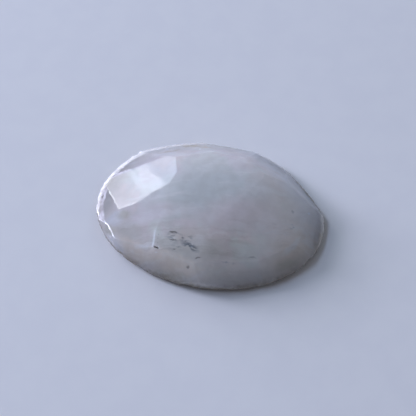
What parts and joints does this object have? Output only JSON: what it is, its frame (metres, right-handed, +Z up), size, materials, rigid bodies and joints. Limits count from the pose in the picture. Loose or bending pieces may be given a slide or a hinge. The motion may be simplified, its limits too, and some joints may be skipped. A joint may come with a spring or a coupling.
{
  "type": "rose-cut rainbow moonstone cabochon",
  "caption": "Oval faceted moonstone with a low domed crown, a thin girdle, one flatter cut on its right shoulder and a flat underside.",
  "frame": {"origin": "middle of the footprint, on the surface that the stone rests on", "axes": "+X along the oval's long axis, +Y across it towards the highest part of the crown, +Z up out of the crown"},
  "size_m": [0.018, 0.013, 0.003],
  "materials": {
    "moonstone": "polished, milky and translucent, faintly blue in its middle and warm at its thin edges"
  },
  "bodies": {
    "root": {"moonstone": "moonstone"}
  },
  "joints": []
}
